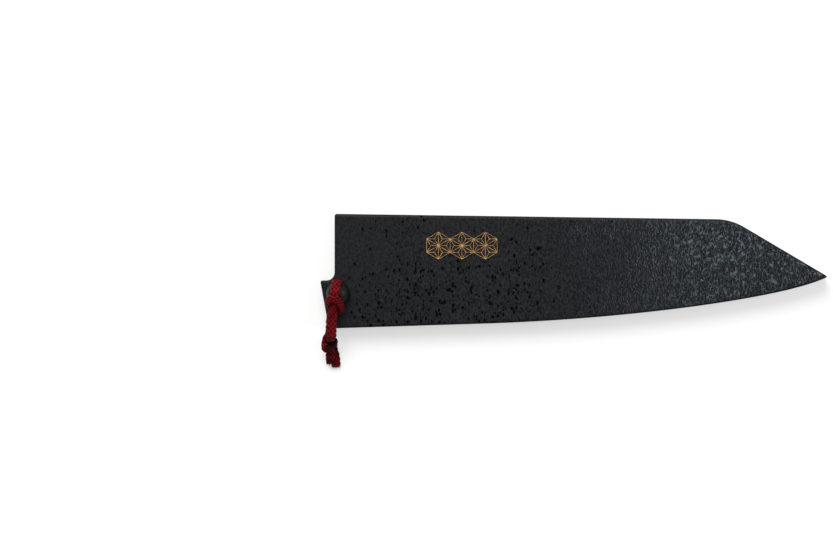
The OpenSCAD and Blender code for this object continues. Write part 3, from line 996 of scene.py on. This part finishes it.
# Row of hemp leaf hexagons, a common pattern in gold lines. A place is folded into one
# twelfth of a hexagon: u along its spoke, v across. With the reach R and the way outward
# a = u cos 30 + v sin 30, the lines are the spoke v = 0, the slant (u - R) / 2 + v cos 30 = 0,
# the side a = R cos 30 and, up to a = R / sqrt 3, the ray u / 2 = v cos 30.
def hempLeafGroup():
    group, _, result = newGroup("hempLeafRow", [], [("Mask", "Float"), ("Colour", "Color")])
    w = Wires(group)
    inMm = w.placeInMm()
    reach, thirty = ornament["reach"], math.radians(30)
    wide = reach * 2 * math.cos(thirty)
    rowHalf, lineHalf = wide * ornament["count"] / 2, ornament["line"] / 2
    x, y, _ = w.parts(inMm)
    stray = ornament["wander"]
    x = w.timesPlus(w.noise(inMm, 0.9), stray, x)
    elsewhere = w.stretched(inMm, (1.0, 1.0, 1.0), (31.0, 17.0, 5.0))
    y = w.timesPlus(w.noise(elsewhere, 0.9), stray, y)
    left = ornament["middle"][0] + stray / 2 - rowHalf
    cell = w.math("FRACT", w.math("DIVIDE", w.minus(x, left), wide))
    sideways = w.times(w.minus(cell, 0.5), wide)
    up = w.minus(y, ornament["middle"][1] + stray / 2)
    turn = w.math("PINGPONG", w.math("ARCTAN2", sideways, up), thirty)
    far = w.math("ADD", w.times(sideways, sideways), w.times(up, up))
    far = w.math("SQRT", far)
    u, v = w.times(far, w.math("COSINE", turn)), w.times(far, w.math("SINE", turn))
    vCos = w.times(v, math.cos(thirty))
    outward = w.timesPlus(u, math.cos(thirty), w.times(v, 0.5))
    slant = w.math("ABSOLUTE", w.math("ADD", w.timesPlus(u, 0.5, -reach / 2), vCos))
    side = w.math("ABSOLUTE", w.minus(outward, wide / 2))
    ray = w.math("ABSOLUTE", w.minus(w.times(u, 0.5), vCos))
    ray = w.math("ADD", ray, w.math("GREATER_THAN", outward, reach / math.sqrt(3)))
    nearest = w.math("MINIMUM", w.math("MINIMUM", v, slant), w.math("MINIMUM", side, ray))
    half = w.times(w.ramp(w.noise(inMm, 0.7, 3.0), 0.35, 0.65, (0.6, 1.5)), lineHalf)
    painted = w.ramp(w.minus(nearest, half), 0.05, -0.05)
    inside = w.math("LESS_THAN", outward, wide / 2 + lineHalf)
    fromMiddle = w.math("ABSOLUTE", w.minus(x, left + rowHalf))
    inRow = w.math("LESS_THAN", fromMiddle, rowHalf + lineHalf)
    mask = w.times(painted, w.times(inside, inRow))
    wear = w.noise(inMm, 3.2, 4.0, 0.65)
    w.feed(result.inputs["Mask"], w.times(mask, w.ramp(wear, 0.28, 0.42, (0.55, 1.0))))
    colour = w.mix(w.ramp(wear, 0.35, 0.65), ornament["worn"], ornament["gold"])
    w.feed(result.inputs["Colour"], colour)
    return group


bareWood = {
    "light": grey(206, 184, 143),
    "dark": grey(164, 136, 98),
    "streaks": (30.0, 900.0, 900.0),  # to the metre, along X and across it
    "pores": (350.0, 5200.0, 5200.0),
    "poreStrength": 0.45,
}


# Grain: long thin streaks along X that wander, with short pores
def grainGroup():
    group, _, result = newGroup("woodGrain", [], [("Colour", "Color"), ("Height", "Float")])
    w = Wires(group)
    place = w.place()
    streaks = w.cloud(place, bareWood["streaks"], 4.0, 0.6, 0.4)
    pores = w.cloud(place, bareWood["pores"], 2.0)
    colour = w.mix(w.ramp(streaks, 0.3, 0.7), bareWood["light"], bareWood["dark"])
    colour = w.mix(w.ramp(pores, 0.62, 0.7, (0.0, bareWood["poreStrength"])), colour,
                   bareWood["dark"])
    w.feed(result.inputs["Colour"], colour)
    w.feed(result.inputs["Height"], w.timesPlus(pores, -0.6, streaks))
    return group


stoneLacquer = stoneGroup()
hempLeaf = hempLeafGroup()
woodGrain = grainGroup()


def newMaterial(name, roughness, specular):
    material = bpy.data.materials.new(name)
    material.use_nodes = True
    w, shader = Wires(material.node_tree), material.node_tree.nodes["Principled BSDF"]
    w.fill(shader, {"Roughness": roughness, "Specular IOR Level": specular,
                    "Coat Roughness": lacquer["coatRoughness"]})
    return material, w, shader


def placed(w, group):
    made = w.node("ShaderNodeGroup")
    made.node_tree = group
    return made


# What every coat and wood has: a colour, a roughness if it varies, and a bumpy height
def surfaced(w, shader, colour, rough, height, depth):
    bump = w.fill(w.node("ShaderNodeBump"), {
        "Strength": 1.0, "Distance": depth, "Height": height})
    w.fill(shader, {"Base Color": colour, "Roughness": rough, "Normal": bump.outputs[0]})


def stoned(w, shader):
    stone = placed(w, stoneLacquer)
    w.feed(stone.inputs["Up"], w.parts(w.node("ShaderNodeNewGeometry").outputs["Normal"])[2])
    w.feed(shader.inputs["Coat Weight"], stone.outputs["Coat"])
    return stone


def lacquerMaterial():
    material, w, shader = newMaterial("stoneLacquerCoat", 0.4, lacquer["specular"])
    stone = stoned(w, shader).outputs
    surfaced(w, shader, stone["Colour"], stone["Roughness"], stone["Height"], lacquer["bump"])
    return material


# The front has the gold row on the same lacquer
def paintedMaterial():
    material, w, shader = newMaterial("paintedLacquerCoat", 0.4, lacquer["specular"])
    stone, row = stoned(w, shader).outputs, placed(w, hempLeaf).outputs
    gold = row["Mask"]
    colour = w.mix(gold, stone["Colour"], row["Colour"])
    rough = w.timesPlus(gold, ornament["smoother"], stone["Roughness"])
    height = w.timesPlus(gold, 0.5, stone["Height"])
    w.feed(shader.inputs["Metallic"], w.times(gold, ornament["metallic"]))
    surfaced(w, shader, colour, rough, height, lacquer["bump"])
    return material


def bareWoodMaterial():
    material, w, shader = newMaterial("bareWood", 0.62, 0.3)
    grain = placed(w, woodGrain).outputs
    surfaced(w, shader, grain["Colour"], None, grain["Height"], 0.03 * mm)
    return material


strips = {
    "turned": 0.35,  # how far a bare face looks into the slot
    "closed": 2.2 * mm,  # lacquered end of the strips at the tip
    "rougher": 0.2,  # by which the wood is rougher than the lacquer
}


# Strips: lacquer on the rim, bare wood on the side that faces the slot. Inward is the
# direction across the guard in which that side looks.
def stripMaterial(name, inward):
    material, w, shader = newMaterial(name, 0.4, lacquer["specular"])
    stone, grain = stoned(w, shader).outputs, placed(w, woodGrain).outputs
    faces = w.parts(w.node("ShaderNodeNewGeometry").outputs["True Normal"])[1]
    bare = w.math("GREATER_THAN", w.times(faces, float(inward)), strips["turned"])
    slotEnd = w.math("LESS_THAN", w.parts(w.place())[0], boardHigh.x - strips["closed"])
    bare = w.times(bare, slotEnd)
    coated = w.minus(1.0, bare)
    colour = w.mix(bare, stone["Colour"], grain["Colour"])
    rough = w.timesPlus(bare, strips["rougher"], stone["Roughness"])
    w.feed(shader.inputs["Coat Weight"], w.times(stone["Coat"], coated))
    surfaced(w, shader, colour, rough, w.times(stone["Height"], coated), 0.06 * mm)
    return material


pegPaint = {
    "dark": grey(10, 11, 11),
    "light": grey(20, 22, 22),
    "roughness": (0.36, 0.52),
    "brushed": (900.0, 900.0, 2600.0),  # marks to the metre, across the peg and along it
}


def pegMaterial():
    material, w, shader = newMaterial("satinBlackPeg", 0.44, 0.17)
    fine = w.cloud(w.place(), pegPaint["brushed"], 3.0, 0.6)
    colour = w.mix(fine, pegPaint["dark"], pegPaint["light"])
    surfaced(w, shader, colour, w.ramp(fine, 0.3, 0.75, pegPaint["roughness"]), fine, 0.02 * mm)
    return material


yarn = {
    # Painted light and shade: the crest colour is a highlight on high plaits, the gap colour is shade in the hollows
    "crestHighlight": grey(136, 12, 25),
    "flank": grey(84, 7, 13),
    "gap": grey(14, 0, 2),
    "shadowRed": grey(26, 0, 4),
    "shadowShare": 0.9,  # of that colour where the painted shade is full
    "patchy": 0.8,  # how much a noise moves the border between gap and flank
    "filaments": 6,  # lines along a yarn
    "roughness": (0.55, 0.78),
}


# Braid: colour by how high the plait stands, which paints highlight on the crests and shade in the gaps, with
# filaments as fine lines along each yarn, painted darker between them, and painted shade on the shaded stretches
def braidMaterial():
    material, w, shader = newMaterial("redBraid", 0.66, 0.06)
    plait, thread, paintedShade = (w.node("ShaderNodeAttribute", attribute_name=name).outputs["Fac"]
                           for name in ("plait", "thread", "paintedShade"))
    place = w.place()
    speckle, patches = w.noise(place, 5200.0, 2.0), w.noise(place, 420.0, 2.0)
    lines = w.math("SINE", w.times(thread, 2 * math.pi * yarn["filaments"]))
    lines = w.timesPlus(lines, 0.5, 0.5)
    uneven = w.timesPlus(w.minus(patches, 0.5), yarn["patchy"], plait)
    colour = w.mix(w.ramp(uneven, 0.17, 0.66), yarn["gap"], yarn["flank"])
    lit = w.times(w.ramp(plait, 0.55, 1.0), w.ramp(patches, 0.3, 0.7, (0.45, 1.0)))
    colour = w.mix(lit, colour, yarn["crestHighlight"])
    # Painted shade between the filaments
    filamentShade = w.times(w.minus(1.0, lines), w.ramp(speckle, 0.3, 0.7, (0.15, 0.5)))
    colour = w.mix(filamentShade, colour, yarn["gap"])
    # Painted shade: the braid is darkened on the shaded stretches
    colour = w.mix(w.times(paintedShade, yarn["shadowShare"]), colour, yarn["shadowRed"])
    rough, height = w.ramp(speckle, 0.3, 0.7, yarn["roughness"]), w.timesPlus(speckle, 0.5, lines)
    surfaced(w, shader, colour, rough, height, 0.03 * mm)
    return material


def frayMaterial():
    material, w, shader = newMaterial("redFilaments", 0.6, 0.1)
    colour = w.mix(w.noise(w.place(), 1800.0), yarn["flank"], yarn["crestHighlight"])
    w.feed(shader.inputs["Base Color"], colour)
    return material


# The bore and the flat inner face of a board are bare wood, which the lacquer doesn't reach
def dressBoard(piece, inner, outer, coat, bare):
    data = piece.data
    data.materials.clear()
    data.materials.append(coat)
    data.materials.append(bare)
    centres, normals = np.zeros((2, len(data.polygons) * 3), np.float32)
    data.polygons.foreach_get("center", centres)
    data.polygons.foreach_get("normal", normals)
    centres, normals = centres.reshape(-1, 3), normals.reshape(-1, 3)
    way = 1 if outer > inner else -1
    flat = (np.abs(centres[:, 2] - inner) < 0.02 * mm) & (normals[:, 2] * way < -0.9)
    bore = np.hypot(*(centres[:, :2] - pegAxis).T) < lacquerCoat["boreRadius"] * 1.001
    data.polygons.foreach_set("material_index", (flat | bore).astype(np.int32))


def dress(piece, material):
    piece.data.materials.clear()
    piece.data.materials.append(material)


def addMaterials():
    bare = bareWoodMaterial()
    dressBoard(boardPieces["frontCoat"], boardLow.z, boardHigh.z, paintedMaterial(), bare)
    dressBoard(boardPieces["backCoat"], backHigh.z, backLow.z, lacquerMaterial(), bare)
    dress(nodes["spine_strip"], stripMaterial("spineStripCoat", -1))
    dress(nodes["edge_strip"], stripMaterial("edgeStripCoat", 1))
    dress(pegPiece, pegMaterial())
    red, filaments = braidMaterial(), frayMaterial()
    for name, piece in cordPieces.items():
        dress(piece, filaments if name.endswith("Fray") else red)
    print("materials in place")


addMaterials()


# Table and light

studio = {
    "floorSize": 3.0,
    "floorLevel": -0.05 * mm,  # a hair under the guard, so that the two don't share a plane
    "floorWhite": 0.9,
    "floorRoughness": 0.9,
    "shown": 0.5,  # share of plain white that the camera sees in the floor
    "world": 0.42,
    "key": {"place": (-0.35, 0.95, 1.1), "size": 1.1, "power": 25.0},
    "side": {"place": (1.0, 0.1, 0.9), "size": 0.7, "power": 6.0},
}


def addFloor():
    half, level = studio["floorSize"] / 2, studio["floorLevel"]
    corners = [[x, y, level] for x, y in
               ((-half, -half), (half, -half), (half, half), (-half, half))]
    floor = meshObject("table", corners, [[0, 1, 2, 3]])
    material, w, shader = newMaterial("whiteTable", studio["floorRoughness"], 0.1)
    w.feed(shader.inputs["Base Color"], (studio["floorWhite"],) * 3 + (1.0,))
    glow = w.fill(w.node("ShaderNodeEmission"), {"Strength": 1.0})
    rays = w.node("ShaderNodeLightPath").outputs
    seen = w.math("ADD", rays["Is Camera Ray"], rays["Is Glossy Ray"])
    seen = w.math("ADD", seen, rays["Is Transmission Ray"], clamp=True)
    seen = w.times(seen, studio["shown"])
    blend = w.fill(w.node("ShaderNodeMixShader"), {
        0: seen, 1: shader.outputs[0], 2: glow.outputs[0]})
    w.feed(material.node_tree.nodes["Material Output"].inputs[0], blend.outputs[0])
    dress(floor, material)
    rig.stage(floor)


def addLamp(name, given):
    data = bpy.data.lights.new(name, "AREA")
    data.shape = "DISK"
    data.size = given["size"]
    data.energy = given["power"]
    lamp = bpy.data.objects.new(name, data)
    bpy.context.scene.collection.objects.link(lamp)
    x, y, z = given["place"]
    lamp.location = x, y, z
    # Turned towards the guard
    lamp.rotation_euler = math.atan2(math.hypot(x, y), z), 0.0, math.atan2(x, -y)


def addLight():
    world = bpy.data.worlds.new("softRoom")
    world.use_nodes = True
    Wires(world.node_tree).fill(world.node_tree.nodes["Background"], {
        "Color": (1.0, 1.0, 1.0, 1.0), "Strength": studio["world"]})
    bpy.context.scene.world = world
    addLamp("keyLamp", studio["key"])
    addLamp("sideLamp", studio["side"])
    bpy.context.scene.view_settings.view_transform = "Standard"
    print("light in place")


addFloor()
addLight()

with open("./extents.json", "w") as sizes:
    json.dump({"cad": cadBox, "visual": [list(corner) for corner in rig.bounds()]}, sizes)
